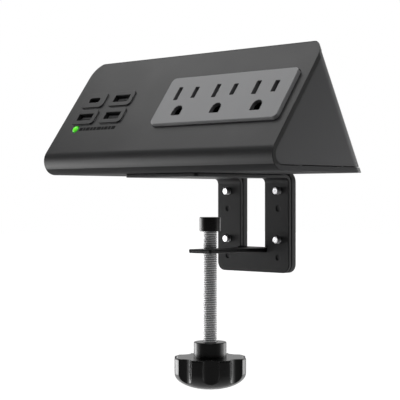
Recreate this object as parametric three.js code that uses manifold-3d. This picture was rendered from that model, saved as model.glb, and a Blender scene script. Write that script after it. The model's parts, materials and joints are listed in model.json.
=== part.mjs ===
// Desk-edge power strip: a wedge-shaped body with three outlets, three USB-A ports and one USB-C port,
// carried on a steel bracket with a clamp screw.
// Millimetres, +Z up, +X along the body, +Y away from the user.
// The origin is where the clamp screw's axis meets the bracket face that rests on the desk top.
import * as THREE from "three";
import { mergeVertices } from "three/addons/utils/BufferGeometryUtils.js";
import Module from "manifold-3d";

const wasm = await Module();
wasm.setup();

// ---- Driving dimensions ----

const gap = 0.3; // between pieces that fit into or rest on each other
const turn = Math.PI * 2;

// Body: a prism along X whose section is a wedge, with a sloping front and a leaning back.
const body = {
  length: 174,
  bottom: 2.1,
  toeY: -55.5,
  rearY: 29.9,
  frontAngle: THREE.MathUtils.degToRad(53.8),
  rearAngle: THREE.MathUtils.degToRad(61.75),
  noseRadius: 8,
  crestRadius: 0.9,
  rearEdgeRadius: 10,
};
const wall = 2.7; // front shell
const housingWall = 2.2; // cheeks and back
const cheekInset = 0.5; // cheeks sit this far inside the front shell's ends

// Front face, in its own frame: x along the body, u up the slope from the toe, n outwards.
const outlets = { count: 3, centreX: 36, pitch: 28.2, slotU: 51.9, groundDrop: 11.9, bladeSpacing: 12.7 };
const panel = {
  width: 89.5, height: 32, u: 47.4, radius: 2.8, proud: 2, skin: 2.4, side: 1.8, rim: 2, rimDepth: 1.8,
};
const slot = { width: 2.9, neutral: 8.7, line: 7.3, groundRadius: 3.2 };
const ports = {
  columnX: [-68.9, -45.7], rowU: [40.8, 53.1], tileWidth: 18.8, tileHeight: 10.6, tileRadius: 2.4,
  proud: 0.8,
};
const usbA = {
  width: 12.4, height: 4.7, radius: 0.4, shellWall: 0.4,
  baseRadius: 0.2, tongueWidth: 11, tongueHeight: 1.8, tongueLift: 1.1,
};
const usbC = {
  width: 9, height: 3.2, radius: 1.55, shellWall: 0.4,
  baseRadius: 1.2, tongueWidth: 6.7, tongueHeight: 0.8, tongueLift: 0,
};
const led = { x: -72.4, u: 32.6, radius: 2.3, foot: -7.5 };
const boardN = -17.2;
const boardThickness = 1.6;
const supplyBoard = { left: -75, right: -32, front: -16, back: 13, z: 8 };
const boardRib = { x: [-66, -42], halfWidth: 1, halfLength: 10 };

// Outlet stack below the panel.
const frameTop = -3.1;
const frameBottom = -20.5;
const coverThickness = 1.8;
const shutter = {
  left: -12.2, right: 8, height: 11, thickness: 1.8, top: -0.9, travel: 3.1, sill: 0.8,
  springLength: 2, springRadius: 0.85, springBore: 0.5,
};
const rail = { width: 1.1, stop: 0.6, stopHalf: 3 };
const contact = {
  leaf: 0.6, spread: 1.3, top: -5.2, bottom: -19.5, barHeight: 4.5, barOffset: 7.1, barHalf: 0.6,
  overhang: 5, reach: 3.5, tab: 5.5, tabWidth: 3,
};
const groundContact = { overhang: 9, past: 3, stripHalf: 2.2, radius: 3.2, bore: 2.6 };

// Cord gland on the back wall, measured up that wall from its lower edge.
const gland = {
  x: 0, up: 21, bore: 4.4, neck: 6.6, flangeRadius: 9, flangeDepth: 3, nutDepth: 4, nutRadius: 9.2,
};

// Bracket and clamp.
const sheet = 2; // upper bracket
const plate = {
  halfWidth: 27.4, front: 35.1, bottom: -53.4, cornerRadius: 5, lowerThickness: 4,
  lowerTop: 4.6, lowerTopRadius: 7,
};
const flange = { front: -39, bendRadius: 3 };
const windowHalf = 9.3;
const windowBottom = -41.9;
const slotIntoFlange = 25;
const tongue = { halfWidth: 8.6, tip: -8.7, top: -39.5, thickness: 2.1 };
const bracketHoles = { x: 19.3, rowZ: [-7.1, -34.7], radius: 2.3 };
const punchMark = { drop: 10, radius: 1.5, depth: 0.5 }; // below each screw, on the front of the leg
const screw = { radius: 3.95, top: -24, bottom: -111.7, holeRadius: 4.3 };
const pad = { radius: 5.9, top: -21.7, height: 7.9 };
const knob = {
  radius: 20.4, collarRadius: 9.1, collarTop: -90.8, top: -99.2, domeStart: -107.2, bottom: -116.9,
  lobes: 8, fluteDepth: 2.9, fluteRadius: 6.2,
};

// Fasteners, and what they run into.
const flatScrew = { headRadius: 3.6, headHeight: 1.9, shankRadius: 1.7 };
const housingScrewLength = 9;
const flangeScrewLength = 8;
const boss = { radius: 4, height: 7.5, pilotRadius: 2.1, pilotDepth: 6.3 };
const post = { radius: 3.6, height: 11, pilotRadius: 2.05, pilotDepth: 9.6 };
const bracketScrewRadius = 2;
const bracketScrewProud = 2.5;

// ---- Materials ----

const finish = (color, roughness, metalness = 0) =>
  new THREE.MeshStandardMaterial({ color, roughness, metalness });
const shellBlack = finish(0x3a3b3d, 0.5);
const housingBlack = finish(0x404143, 0.55);
const panelGrey = finish(0x7b7d80, 0.5);
const innerBlack = finish(0x1c1c1d, 0.6);
const shutterGrey = finish(0x4a4a4c, 0.6);
const brassMetal = finish(0xb08d45, 0.35, 1);
const steelMetal = finish(0xb8babd, 0.3, 1);
const bracketBlack = finish(0x2a2b2d, 0.5, 0.2);
const knobBlack = finish(0x141415, 0.25);
const boardGreen = finish(0x1d4a2c, 0.5);
const coreYellow = finish(0xb9a03a, 0.6);
const ledGreen = finish(0x5fe03a, 0.3);
const wireBlack = finish(0x151515, 0.5);
const wireWhite = finish(0xd8d8d4, 0.5);
const wireGreen = finish(0x2a7a3a, 0.5);

// ---- Geometry helpers ----

// A closed geometry, moved by a matrix, as a manifold solid.
function solid(geometry, matrix = new THREE.Matrix4()) {
  const loose = geometry.index ? geometry.toNonIndexed() : geometry.clone();
  loose.deleteAttribute("normal");
  loose.deleteAttribute("uv");
  loose.applyMatrix4(matrix);
  const merged = mergeVertices(loose, 1e-4);
  const corners = [];
  for (let i = 0; i < merged.index.count; i += 3) {
    const [a, b, c] = [merged.index.getX(i), merged.index.getX(i + 1), merged.index.getX(i + 2)];
    if (a !== b && b !== c && c !== a) corners.push(a, b, c);
  }
  const points = merged.attributes.position;
  const [p, q, r] = [new THREE.Vector3(), new THREE.Vector3(), new THREE.Vector3()];
  let volume = 0;
  for (let i = 0; i < corners.length; i += 3) {
    p.fromBufferAttribute(points, corners[i]);
    q.fromBufferAttribute(points, corners[i + 1]);
    r.fromBufferAttribute(points, corners[i + 2]);
    volume += p.dot(q.cross(r));
  }
  if (volume < 0) corners.reverse();
  return new wasm.Manifold(
    new wasm.Mesh({ numProp: 3, vertProperties: points.array, triVerts: new Uint32Array(corners) }),
  );
}

const union = (solids) => solids.reduce((whole, next) => whole.add(next));
const cut = (whole, tools) => tools.reduce((left, tool) => left.subtract(tool), whole);
const at = (x, y, z) => new THREE.Matrix4().makeTranslation(x, y, z);

// A box between two corners.
function box(low, high, matrix) {
  const size = high.map((value, i) => value - low[i]);
  const middle = high.map((value, i) => (value + low[i]) / 2);
  const place = at(...middle);
  return solid(new THREE.BoxGeometry(...size), matrix ? matrix.clone().multiply(place) : place);
}

// A cylinder or cone along local Z, from z0 with radius r0 to z1 with radius r1.
function rod(x, y, z0, r0, z1, r1 = r0, matrix = new THREE.Matrix4(), sides = 16) {
  const shape = new THREE.CylinderGeometry(r1, r0, z1 - z0, sides).rotateX(Math.PI / 2);
  return solid(shape, matrix.clone().multiply(at(x, y, (z0 + z1) / 2)));
}

// A closed outline through the points, with each corner rounded by its radius.
function roundedOutline(points, radii) {
  const shape = new THREE.Shape();
  points.forEach(([x, y], i) => {
    const corner = new THREE.Vector2(x, y);
    const radius = Array.isArray(radii) ? radii[i] : radii;
    if (!radius) {
      if (i) shape.lineTo(x, y);
      else shape.moveTo(x, y);
      return;
    }
    const before = new THREE.Vector2(...points.at(i - 1)).sub(corner).normalize();
    const after = new THREE.Vector2(...points[(i + 1) % points.length]).sub(corner).normalize();
    const half = Math.acos(before.dot(after)) / 2;
    const reach = radius / Math.tan(half);
    const start = before.clone().multiplyScalar(reach).add(corner);
    const end = after.clone().multiplyScalar(reach).add(corner);
    const centre = before.clone().add(after).normalize().multiplyScalar(radius / Math.sin(half)).add(corner);
    if (i) shape.lineTo(start.x, start.y);
    else shape.moveTo(start.x, start.y);
    const from = Math.atan2(start.y - centre.y, start.x - centre.x);
    const to = Math.atan2(end.y - centre.y, end.x - centre.x);
    shape.absarc(centre.x, centre.y, radius, from, to, before.cross(after) > 0);
  });
  shape.closePath();
  return shape;
}

function rectangle(width, height, radius, x = 0, y = 0) {
  const [a, b] = [width / 2, height / 2];
  return roundedOutline([[x - a, y - b], [x + a, y - b], [x + a, y + b], [x - a, y + b]], radius);
}

// An outline extruded along local Z from z0 to z1.
function prism(shape, z0, z1, matrix = new THREE.Matrix4(), curveSegments = 3) {
  const geometry = new THREE.ExtrudeGeometry(shape, { depth: z1 - z0, bevelEnabled: false, curveSegments });
  return solid(geometry, matrix.clone().multiply(at(0, 0, z0)));
}

const basis = (x, y, z) =>
  new THREE.Matrix4().makeBasis(new THREE.Vector3(...x), new THREE.Vector3(...y), new THREE.Vector3(...z));

// Frames: a (y, z) section swept along X, an (x, z) outline swept towards -Y, and the two sloping faces.
const sectionFrame = basis([0, 1, 0], [0, 0, 1], [1, 0, 0]);
const uprightFrame = basis([1, 0, 0], [0, 0, 1], [0, -1, 0]);
const slopeFrame = at(0, body.toeY, body.bottom).multiply(
  new THREE.Matrix4().makeRotationX(body.frontAngle),
);
const rearCos = Math.cos(body.rearAngle);
const rearSin = Math.sin(body.rearAngle);
const rearFrame = at(0, body.rearY, body.bottom).multiply(
  basis([1, 0, 0], [0, rearSin, rearCos], [0, -rearCos, rearSin]),
);
// Local Z of this frame leaves the back wall at right angles.
const glandFrame = at(0, body.rearY, body.bottom).multiply(
  basis([-1, 0, 0], [0, -rearCos, rearSin], [0, rearSin, rearCos]),
);

const group = new THREE.Group();

// Adds a manifold solid to the model as a named mesh.
function piece(name, shape, material) {
  const { vertProperties, triVerts } = shape.getMesh();
  const geometry = new THREE.BufferGeometry();
  geometry.setAttribute("position", new THREE.BufferAttribute(vertProperties, 3));
  geometry.setIndex(new THREE.BufferAttribute(triVerts, 1));
  const flat = geometry.toNonIndexed();
  flat.computeVertexNormals();
  const mesh = new THREE.Mesh(flat, material);
  mesh.name = name;
  group.add(mesh);
}

// ---- Body section ----

// The wedge with its front, base and back faces moved inwards.
function wedge(front, base, rear, noseRadius, crestRadius) {
  const slope = [-Math.sin(body.frontAngle), Math.cos(body.frontAngle)];
  const back = [rearSin, rearCos];
  const slopeOffset = slope[0] * body.toeY + slope[1] * body.bottom - front;
  const backOffset = back[0] * body.rearY + back[1] * body.bottom - rear;
  const z = body.bottom + base;
  const toe = [(slopeOffset - slope[1] * z) / slope[0], z];
  const heel = [(backOffset - back[1] * z) / back[0], z];
  const determinant = slope[0] * back[1] - slope[1] * back[0];
  const crest = [
    (slopeOffset * back[1] - slope[1] * backOffset) / determinant,
    (slope[0] * backOffset - slopeOffset * back[0]) / determinant,
  ];
  return roundedOutline([heel, crest, toe], [0, crestRadius, noseRadius]);
}

function sweep(section, halfLength) {
  return prism(section, -halfLength, halfLength, sectionFrame, 4);
}

// Everything inside the two rounded rear edges.
function insideRearEdges(halfLength, radius, rear) {
  const outline = roundedOutline(
    [[-halfLength, -120], [halfLength, -120], [halfLength, -rear], [-halfLength, -rear]],
    [0, 0, radius, radius],
  );
  return prism(outline, -20, 110, rearFrame, 4);
}

const halfLength = body.length / 2;
const outletX = Array.from({ length: outlets.count }, (_, i) => outlets.centreX + (i - 1) * outlets.pitch);
const groundU = outlets.slotU - outlets.groundDrop;
const portCentres = ports.columnX.flatMap((x) => ports.rowU.map((u) => ({ x, u })));
const usbCPort = portCentres[1]; // left column, upper row
const usbAPorts = [portCentres[0], portCentres[2], portCentres[3]];
const flangeScrews = [[-19, -28], [19, -28], [-19, 17], [19, 17]];
const housingScrews = [[-81.5, -22], [81.5, -22], [-81.5, 12], [81.5, 12]];

// A countersunk screw, head down, standing on z0; grow makes the hole that clears it.
function countersunk([x, y], z0, length, grow) {
  const { headRadius, headHeight, shankRadius } = flatScrew;
  const head = rod(x, y, z0, headRadius + grow, z0 + headHeight, shankRadius + grow);
  return head.add(rod(x, y, z0 + 1, shankRadius + grow, z0 + length + grow));
}

function frontShell() {
  const outer = sweep(wedge(0, 0, 0, body.noseRadius, body.crestRadius), halfLength).intersect(
    insideRearEdges(halfLength, body.rearEdgeRadius, 0),
  );
  const inner = sweep(wedge(wall, wall, -40, body.noseRadius - wall, 0), halfLength + 5);
  const tiles = portCentres.map(({ x, u }) =>
    prism(
      rectangle(ports.tileWidth, ports.tileHeight, ports.tileRadius, x, u), -1, ports.proud, slopeFrame, 2,
    ),
  );
  const bosses = flangeScrews.map(([x, y]) =>
    rod(x, y, body.bottom + 1, boss.radius, body.bottom + boss.height),
  );
  const boardRibs = boardRib.x.map((x) =>
    box(
      [x - boardRib.halfWidth, -boardRib.halfLength, body.bottom + 1],
      [x + boardRib.halfWidth, boardRib.halfLength, supplyBoard.z - gap],
    ),
  );
  const panelHole = rectangle(
    panel.width + 2 * gap, panel.height + 2 * gap, panel.radius + gap, outlets.centreX, panel.u,
  );
  const portHole = ({ x, u }, port, segments) =>
    prism(rectangle(port.width, port.height, port.radius, x, u), -9, 2, slopeFrame, segments);
  const openings = [
    prism(panelHole, -wall - 1, 1, slopeFrame),
    ...usbAPorts.map((point) => portHole(point, usbA, 1)),
    portHole(usbCPort, usbC, 3),
    rod(led.x, led.u, -9, led.radius + gap, 2, led.radius + gap, slopeFrame),
    ...flangeScrews.map(([x, y]) => rod(x, y, 0, boss.pilotRadius, body.bottom + boss.pilotDepth)),
    ...housingScrews.map((point) =>
      countersunk(point, body.bottom - 0.1, housingScrewLength + 3, gap + 0.1),
    ),
  ];
  return cut(union([outer.subtract(inner), ...tiles, ...bosses, ...boardRibs]), openings);
}

// Cheeks and back wall in one moulding, with the screw posts and the hole for the cord gland.
function rearHousing() {
  const cheekX = halfLength - cheekInset;
  const seat = wall + gap;
  const outer = sweep(wedge(seat, seat, 0, body.noseRadius - seat, 0.6), cheekX).intersect(
    insideRearEdges(cheekX, body.rearEdgeRadius - cheekInset, 0),
  );
  const inner = sweep(wedge(-20, -20, housingWall, 0, 0), cheekX - housingWall).intersect(
    insideRearEdges(cheekX - housingWall, body.rearEdgeRadius - cheekInset - housingWall, housingWall),
  );
  const posts = housingScrews.map(([x, y]) =>
    rod(x, y, body.bottom + seat, post.radius, body.bottom + post.height),
  );
  const pilots = housingScrews.map(([x, y]) =>
    rod(x, y, body.bottom, post.pilotRadius, body.bottom + post.pilotDepth),
  );
  return cut(union([outer.subtract(inner), ...posts]), [
    ...pilots,
    rod(-gland.x, gland.up, -10, gland.neck + gap, 10, gland.neck + gap, glandFrame),
  ]);
}

// ---- Outlets ----

function bladeSlots(x, z0, z1, grow) {
  const [left, right] = [x - outlets.bladeSpacing / 2, x + outlets.bladeSpacing / 2];
  const holeShape = new THREE.Shape();
  const r = slot.groundRadius + grow;
  holeShape.moveTo(x - r, groundU - r);
  holeShape.lineTo(x + r, groundU - r);
  holeShape.lineTo(x + r, groundU);
  holeShape.absarc(x, groundU, r, 0, Math.PI, false);
  const width = slot.width + 2 * grow;
  const blade = (middle, length) => rectangle(width, length + 2 * grow, 0, middle, outlets.slotU);
  return [
    prism(blade(left, slot.neutral), z0, z1, slopeFrame),
    prism(blade(right, slot.line), z0, z1, slopeFrame),
    prism(holeShape, z0, z1, slopeFrame, 5),
  ];
}

function outletPanel() {
  const { width, height, radius, u, proud, skin, side, rim, rimDepth } = panel;
  const rimTop = -wall - gap;
  const offset = (by) => rectangle(width + 2 * by, height + 2 * by, radius + by, outlets.centreX, u);
  const raised = prism(offset(0), rimTop - rimDepth, proud, slopeFrame);
  const edge = prism(offset(rim), rimTop - rimDepth, rimTop, slopeFrame);
  const hollow = prism(offset(-side), -20, proud - skin, slopeFrame);
  return cut(raised.add(edge), [hollow, ...outletX.flatMap((centre) => bladeSlots(centre, -3, 5, 0))]);
}

// Bus bar with a pair of spring leaves at each blade and a tab through the cover at its left end.
// Side is +1 for the bar above the slots, -1 below; grow makes the pocket, open at the back.
function bladeBus(bladeX, side, grow) {
  const { leaf, spread, top, bottom, barHeight, barOffset, barHalf } = contact;
  const { overhang, reach, tab, tabWidth } = contact;
  const barU = outlets.slotU + side * barOffset;
  const farU = outlets.slotU - side * reach;
  const floor = grow ? frameBottom - 1 : bottom;
  const left = bladeX[0] - overhang;
  const bar = box(
    [left - grow, barU - barHalf - grow, floor],
    [bladeX.at(-1) + overhang + grow, barU + barHalf + grow, bottom + barHeight + grow],
    slopeFrame,
  );
  const leaves = bladeX.flatMap((x) => [-1, 1].map((hand) => {
    const middle = x + hand * spread;
    return box(
      [middle - leaf / 2 - grow, Math.min(barU, farU) - grow, floor],
      [middle + leaf / 2 + grow, Math.max(barU, farU) + grow, top + grow],
      slopeFrame,
    );
  }));
  const tail = box(
    [left, barU - barHalf, bottom - tab],
    [left + tabWidth, barU + barHalf, bottom + 1],
    slopeFrame,
  );
  return union(grow ? [bar, ...leaves] : [bar, ...leaves, tail]);
}

function groundBus(grow) {
  const { top, bottom, barHalf, tab, tabWidth } = contact;
  const { overhang, past, stripHalf, radius, bore } = groundContact;
  const floor = grow ? frameBottom - 1 : bottom;
  const left = outletX[0] - overhang;
  const strip = box(
    [left - grow, groundU - stripHalf - grow, floor],
    [outletX.at(-1) + past + grow, groundU + stripHalf + grow, bottom + 1 + grow],
    slopeFrame,
  );
  const sockets = outletX.map((x) =>
    rod(x, groundU, floor, radius + grow, top + grow, radius + grow, slopeFrame),
  );
  const bores = outletX.map((x) => rod(x, groundU, bottom - 1, bore, top + 1, bore, slopeFrame));
  const tail = box(
    [left, groundU - barHalf, bottom - tab],
    [left + tabWidth, groundU + barHalf, bottom + 0.5],
    slopeFrame,
  );
  return grow ? union([strip, ...sockets]) : cut(union([strip, ...sockets, tail]), bores);
}

const lineX = outletX.map((x) => x + outlets.bladeSpacing / 2);
const neutralX = outletX.map((x) => x - outlets.bladeSpacing / 2);

const frameOutline = () => {
  const fit = 2 * (panel.side + gap);
  return rectangle(panel.width - fit, panel.height - fit, panel.radius - fit / 2, outlets.centreX, panel.u);
};

// Insulating block that holds the contacts; rails and a stop on its front guide each shutter and its spring.
function outletFrame() {
  const block = prism(frameOutline(), frameBottom, frameTop, slopeFrame);
  const railTop = shutter.top + 0.1;
  const rails = outletX.flatMap((x) => [-1, 1].map((hand) => {
    const inner = outlets.slotU + hand * (shutter.height / 2 + gap);
    const outer = inner + hand * rail.width;
    return box(
      [x + shutter.left - 1, Math.min(inner, outer), frameTop - 0.5],
      [x + shutter.right + shutter.travel, Math.max(inner, outer), railTop],
      slopeFrame,
    );
  }));
  const stopX = shutter.right + shutter.travel + shutter.springLength + 2 * gap;
  const stops = outletX.map((x) =>
    box(
      [x + stopX, outlets.slotU - rail.stopHalf, frameTop - 0.5],
      [x + stopX + rail.stop, outlets.slotU + rail.stopHalf, railTop],
      slopeFrame,
    ),
  );
  const clear = 0.4;
  return cut(union([block, ...rails, ...stops]), [
    bladeBus(lineX, 1, clear),
    bladeBus(neutralX, -1, clear),
    groundBus(clear),
    ...outletX.flatMap((centre) => bladeSlots(centre, frameBottom - 1, frameTop + 0.1, gap)),
  ]);
}

function contactCover() {
  const top = frameBottom - gap;
  const clear = 0.4;
  const slots = [
    [lineX[0] - contact.overhang, outlets.slotU + contact.barOffset],
    [neutralX[0] - contact.overhang, outlets.slotU - contact.barOffset],
    [outletX[0] - groundContact.overhang, groundU],
  ].map(([x, u]) =>
    box([x - clear, u - 1, top - 5], [x + contact.tabWidth + clear, u + 1, top + 1], slopeFrame),
  );
  return cut(prism(frameOutline(), top - coverThickness, top, slopeFrame), slots);
}

// Safety shutter: its two windows line up with the slots once it has slid aside by its travel.
function safetyShutter(x) {
  const { left, right, height, thickness, top, travel, sill } = shutter;
  const [low, high] = [outlets.slotU - height / 2, outlets.slotU + height / 2];
  const leaf = box([x + left, low, top - thickness], [x + right, high, top], slopeFrame);
  const windows = [-1, 1].map((hand) => {
    const middle = x + (hand * outlets.bladeSpacing) / 2 - travel;
    const half = slot.width / 2 + 0.05;
    return box([middle - half, low + sill, top - 5], [middle + half, high - sill, top + 5], slopeFrame);
  });
  return cut(leaf, windows);
}

// The shutter's return spring, drawn at its pressed length.
function shutterSpring(x) {
  const along = slopeFrame.clone()
    .multiply(at(0, outlets.slotU, shutter.top - shutter.thickness / 2))
    .multiply(sectionFrame);
  const { springRadius, springBore } = shutter;
  const start = x + shutter.right + shutter.travel + gap;
  const end = start + shutter.springLength;
  return rod(0, 0, start, springRadius, end, springRadius, along).subtract(
    rod(0, 0, start - 1, springBore, end + 1, springBore, along),
  );
}

// ---- USB ports and their supply ----

const portMouth = -wall - gap;
const tongueTip = -1.6;

// Metal shell of a port, standing on the board.
function usbShell({ x, u }, port) {
  const { width, height, radius, shellWall } = port;
  const outer = rectangle(width + 2 * shellWall, height + 2 * shellWall, radius + shellWall, x, u);
  const inner = rectangle(width, height, radius, x, u);
  const floor = boardN + gap;
  return prism(outer, floor, portMouth, slopeFrame, 2).subtract(
    prism(inner, floor - 1, portMouth + 1, slopeFrame, 2),
  );
}

// Insulator and contact tongue inside a port; its lift moves the tongue off the middle.
function usbTongue({ x, u }, port) {
  const { tongueWidth, tongueHeight, tongueLift } = port;
  const floor = boardN + gap;
  const outline = rectangle(port.width - 2 * gap, port.height - 2 * gap, port.baseRadius, x, u);
  const base = prism(outline, floor, floor + 3, slopeFrame, 2);
  const low = u + tongueLift - tongueHeight / 2;
  const blade = box(
    [x - tongueWidth / 2, low, floor + 1],
    [x + tongueWidth / 2, low + tongueHeight, tongueTip],
    slopeFrame,
  );
  return base.add(blade);
}

const boardBack = boardN - boardThickness;

function usbBoard() {
  const [left, right] = [led.x - 6, ports.columnX[1] + 12];
  return box([left, led.u - 3.5, boardBack], [right, ports.rowU[1] + 7, boardN], slopeFrame);
}

// ---- Bracket and clamp ----

const plateMatrix = (front) => at(0, front, 0).multiply(uprightFrame);
const screwPoints = [-1, 1].flatMap((hand) => bracketHoles.rowZ.map((z) => [hand * bracketHoles.x, z]));
const frontOf = plate.front;
const lowerFront = plate.front + sheet + gap;
const lowerBack = lowerFront + plate.lowerThickness;

function bracketHole([x, z], front, back) {
  const { radius } = bracketHoles;
  return rod(x, z, -back - 1, radius, -front + 1, radius, uprightFrame);
}

function punchCut([x, z]) {
  const { drop, radius, depth } = punchMark;
  return rod(x, z - drop, -frontOf - depth, radius, -frontOf + 1, radius, uprightFrame);
}

// Flange under the body, bend and upright leg in one steel sheet, with a window slot through the bend.
function upperBracket() {
  const { halfWidth, bottom, cornerRadius } = plate;
  const inner = flange.bendRadius;
  const outer = inner + sheet;
  const back = frontOf + sheet;
  const section = roundedOutline(
    [
      [flange.front, 0], [frontOf, 0], [frontOf, bottom],
      [back, bottom], [back, sheet], [flange.front, sheet],
    ],
    [0, inner, 0, 0, outer, 0],
  );
  const folded = prism(section, -halfWidth, halfWidth, sectionFrame, 4);
  const front = roundedOutline(
    [[-halfWidth, bottom], [halfWidth, bottom], [halfWidth, sheet + 1], [-halfWidth, sheet + 1]],
    [cornerRadius, cornerRadius, 0, 0],
  );
  const top = roundedOutline(
    [[-halfWidth, flange.front], [halfWidth, flange.front], [halfWidth, back + 1], [-halfWidth, back + 1]],
    [2, 2, 0, 0],
  );
  const outline = prism(front, -back - 1, -flange.front + 1, uprightFrame);
  const trimmed = folded.intersect(outline).intersect(prism(top, bottom - 1, sheet + 1));
  return cut(trimmed, [
    box([-windowHalf, slotIntoFlange, windowBottom], [windowHalf, back + 1, sheet + 1]),
    box([-windowHalf - 2, frontOf - 1, windowBottom], [windowHalf + 2, back + 1, windowBottom + 2.7]),
    ...screwPoints.map((point) => bracketHole(point, frontOf, back)),
    ...screwPoints.map(punchCut),
    ...flangeScrews.map((point) => countersunk(point, -0.1, flangeScrewLength, gap)),
  ]);
}

// Rear plate with the threaded tongue that reaches forward through the upper bracket's window.
function lowerBracket() {
  const { halfWidth, bottom, cornerRadius, lowerThickness } = plate;
  const top = plate.lowerTop;
  const outline = roundedOutline(
    [[-halfWidth, bottom], [halfWidth, bottom], [halfWidth, top], [-halfWidth, top]],
    [cornerRadius, cornerRadius, plate.lowerTopRadius, plate.lowerTopRadius],
  );
  const upright = prism(outline, -lowerThickness, 0, plateMatrix(lowerFront));
  const tongueBottom = tongue.top - tongue.thickness;
  const opening = box([-windowHalf, frontOf, tongue.top - 0.2], [windowHalf, lowerBack + 1, top + 1]);
  const blade = prism(
    roundedOutline(
      [[-tongue.halfWidth, tongue.tip], [tongue.halfWidth, tongue.tip], [tongue.halfWidth, lowerBack - 1],
        [-tongue.halfWidth, lowerBack - 1]],
      [1.2, 1.2, 0, 0],
    ),
    tongueBottom, tongue.top,
  );
  return cut(upright.subtract(opening).add(blade), [
    rod(0, 0, -60, screw.holeRadius, -30),
    ...screwPoints.map((point) => bracketHole(point, lowerFront, lowerBack)),
  ]);
}

// Button-head screw put in from behind, its end standing proud of the front leg.
function bracketScrew([x, z]) {
  const end = frontOf - bracketScrewProud;
  const head = lowerBack + gap;
  const shank = rod(x, z, -head - 0.5, bracketScrewRadius, -end, bracketScrewRadius, uprightFrame);
  const button = new THREE.LatheGeometry(
    [[0, 0], [3.7, 0], [3.6, 0.9], [2.9, 1.8], [1.6, 2.3], [1.5, 1.1], [0, 1.1]]
      .map(([r, h]) => new THREE.Vector2(r, h)),
    16,
  ).rotateX(Math.PI / 2);
  return shank.add(solid(button, at(x, head, z).multiply(new THREE.Matrix4().makeRotationX(-Math.PI / 2))));
}

function knobBody() {
  const { radius, collarRadius, collarTop, top, domeStart, bottom } = knob;
  const { lobes, fluteDepth, fluteRadius } = knob;
  const reach = radius - fluteDepth + fluteRadius;
  const flutes = Array.from({ length: lobes }, (_, i) => {
    const angle = (i / lobes) * turn;
    const [x, y] = [reach * Math.cos(angle), reach * Math.sin(angle)];
    return rod(x, y, bottom - 1, fluteRadius, top + 1, fluteRadius, undefined, 32);
  });
  const envelope = [
    [0, bottom], [7, bottom + 0.4], [13, bottom + 2.6], [radius - 2.5, bottom + 5.8],
    [radius, domeStart], [radius, top - 1.2], [radius - 1.2, top], [0, top],
  ];
  const dome = solid(
    new THREE.LatheGeometry(envelope.map(([r, z]) => new THREE.Vector2(r, z)), 48).rotateX(Math.PI / 2),
  );
  const collar = rod(0, 0, top - 1, collarRadius, collarTop, collarRadius, undefined, 40);
  const socket = rod(0, 0, screw.bottom - gap, screw.radius + gap, collarTop + 1, screw.radius + gap);
  return cut(dome, flutes).add(collar).subtract(socket);
}

function screwPad() {
  const { radius, top, height } = pad;
  const outline = [[0, top - height], [radius - 0.5, top - height], [radius, top - height + 0.5],
    [radius, top - 0.6], [radius - 0.6, top], [0, top]];
  const body = new THREE.LatheGeometry(outline.map(([r, z]) => new THREE.Vector2(r, z)), 32);
  return solid(body.rotateX(Math.PI / 2)).subtract(
    rod(0, 0, top - height - 1, screw.radius + gap, screw.top + gap, screw.radius + gap),
  );
}

function clampScrew() {
  const tip = screw.top - 1;
  return union([
    rod(0, 0, screw.bottom, screw.radius, tip, screw.radius, undefined, 32),
    rod(0, 0, tip, screw.radius, screw.top, screw.radius - 1, undefined, 32),
  ]);
}

// ---- Cord gland, supply parts and wiring ----

function cordGland() {
  const { x, up, bore, neck, flangeRadius, flangeDepth, nutDepth } = gland;
  const inside = -housingWall - gap - nutDepth - 1;
  const rim = gap + flangeDepth;
  const outline = [
    [bore, inside], [neck, inside], [neck, gap], [flangeRadius, gap], [flangeRadius, rim - 0.8],
    [flangeRadius - 0.8, rim], [bore + 0.6, rim], [bore, rim - 0.6], [bore, inside],
  ];
  const turned = new THREE.LatheGeometry(outline.map(([r, z]) => new THREE.Vector2(r, z)), 28);
  return solid(turned.rotateX(Math.PI / 2), glandFrame.clone().multiply(at(-x, up, 0)));
}

function glandNut() {
  const { x, up, neck, nutDepth, nutRadius } = gland;
  const top = -housingWall - gap;
  return rod(-x, up, top - nutDepth, nutRadius, top, nutRadius, glandFrame, 6).subtract(
    rod(-x, up, top - nutDepth - 1, neck + gap, top + 1, neck + gap, glandFrame, 32),
  );
}

function supplyBoardPlate() {
  const { left, right, front, back, z } = supplyBoard;
  return box([left, front, z], [right, back, z + boardThickness]);
}

// Ferrite transformer: an E-shaped core closed around a wound bobbin.
const deck = supplyBoard.z + boardThickness + gap;
const core = { x: -52, y: 0, width: 18, depth: 12, height: 14, limb: 3.5, centreRadius: 2 };

function transformerCore() {
  const { x, y, width, depth, height, limb, centreRadius } = core;
  const block = box([x - width / 2, y - depth / 2, deck], [x + width / 2, y + depth / 2, deck + height]);
  const opening = box(
    [x - width / 2 + limb, y - depth, deck + limb],
    [x + width / 2 - limb, y + depth, deck + height - limb],
  );
  const centre = rod(x, y, deck + 1, centreRadius, deck + height - 1);
  return block.subtract(opening).add(centre);
}

function transformerWinding() {
  const { x, y, width, depth, height, limb, centreRadius } = core;
  const radius = Math.min(width / 2 - limb, depth / 2) - gap;
  const [low, high] = [deck + limb + gap, deck + height - limb - gap];
  return rod(x, y, low, radius, high, radius, undefined, 32).subtract(
    rod(x, y, low - 1, centreRadius + gap, high + 1),
  );
}

function capacitor(x, y, radius, height) {
  return union([
    rod(x, y, deck, radius, deck + height - 0.5, radius, undefined, 32),
    rod(x, y, deck + height - 0.5, radius, deck + height, radius - 0.5, undefined, 32),
  ]);
}

const terminal = {
  left: -13, right: 13, front: -7, back: 3, bottom: body.bottom + wall + gap, height: 9,
  ways: [-8, 0, 8],
};

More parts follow.
